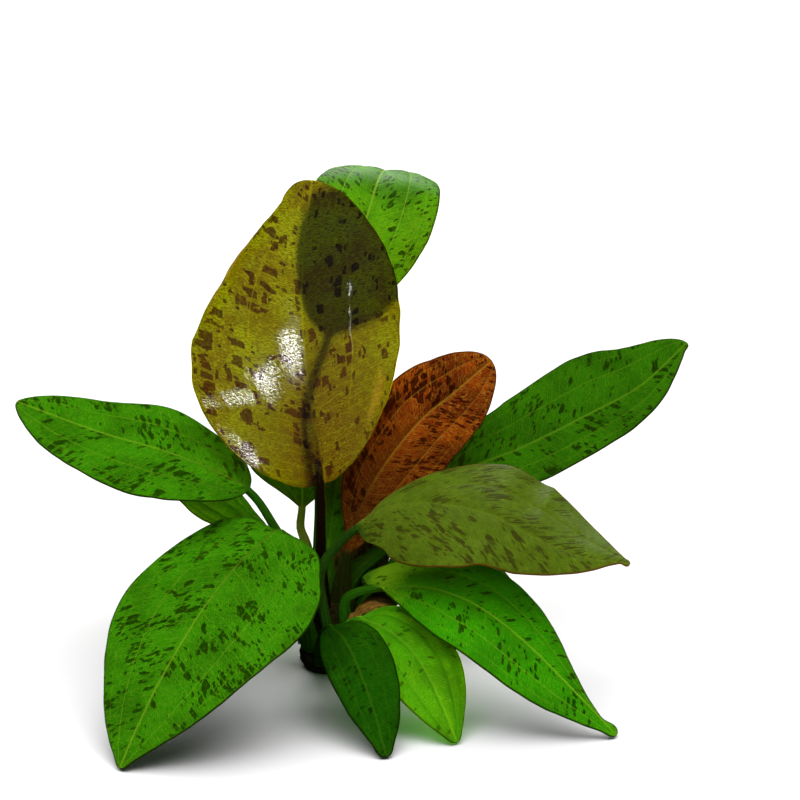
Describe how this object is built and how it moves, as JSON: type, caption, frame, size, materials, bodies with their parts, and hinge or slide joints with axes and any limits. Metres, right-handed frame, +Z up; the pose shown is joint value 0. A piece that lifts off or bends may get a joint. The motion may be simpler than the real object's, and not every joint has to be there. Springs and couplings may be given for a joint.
{
  "type": "red-spotted aquarium sword plant",
  "caption": "Rosette of broad, stalked, red-brown spotted leaves on a short crown that is cut off flat to stand on a surface.",
  "frame": {"origin": "middle of the crown's flat cut, where the plant comes out of the ground", "axes": "+Z up out of the ground, -Y the side that the tall olive leaf turns its upper face to, +X to the right as seen from that side"},
  "size_m": [0.2665, 0.1876, 0.1912],
  "materials": {
    "green_leaf": "glossy, with dark red-brown spots",
    "olive_leaf": "glossy, with red-brown spots",
    "red_leaf": "glossy, with dark red-brown spots",
    "crown": "dull, fibrous and dark",
    "dry_sheath": "dull, dry and fibrous"
  },
  "bodies": {
    "root": {"crown": "crown", "leaf_tall": "olive_leaf", "leaf_top_back": "green_leaf", "leaf_pale_stalk": "green_leaf", "leaf_upright": "green_leaf", "leaf_red": "red_leaf", "leaf_right": "green_leaf", "leaf_front_right": "olive_leaf", "leaf_low_right": "green_leaf", "leaf_low_back_right": "green_leaf", "leaf_small_right": "green_leaf", "leaf_small_front": "green_leaf", "leaf_left": "green_leaf", "leaf_behind_left": "green_leaf", "leaf_front_left": "green_leaf", "leaf_low_back_left": "green_leaf", "old_sheath": "dry_sheath"}
  },
  "joints": []
}
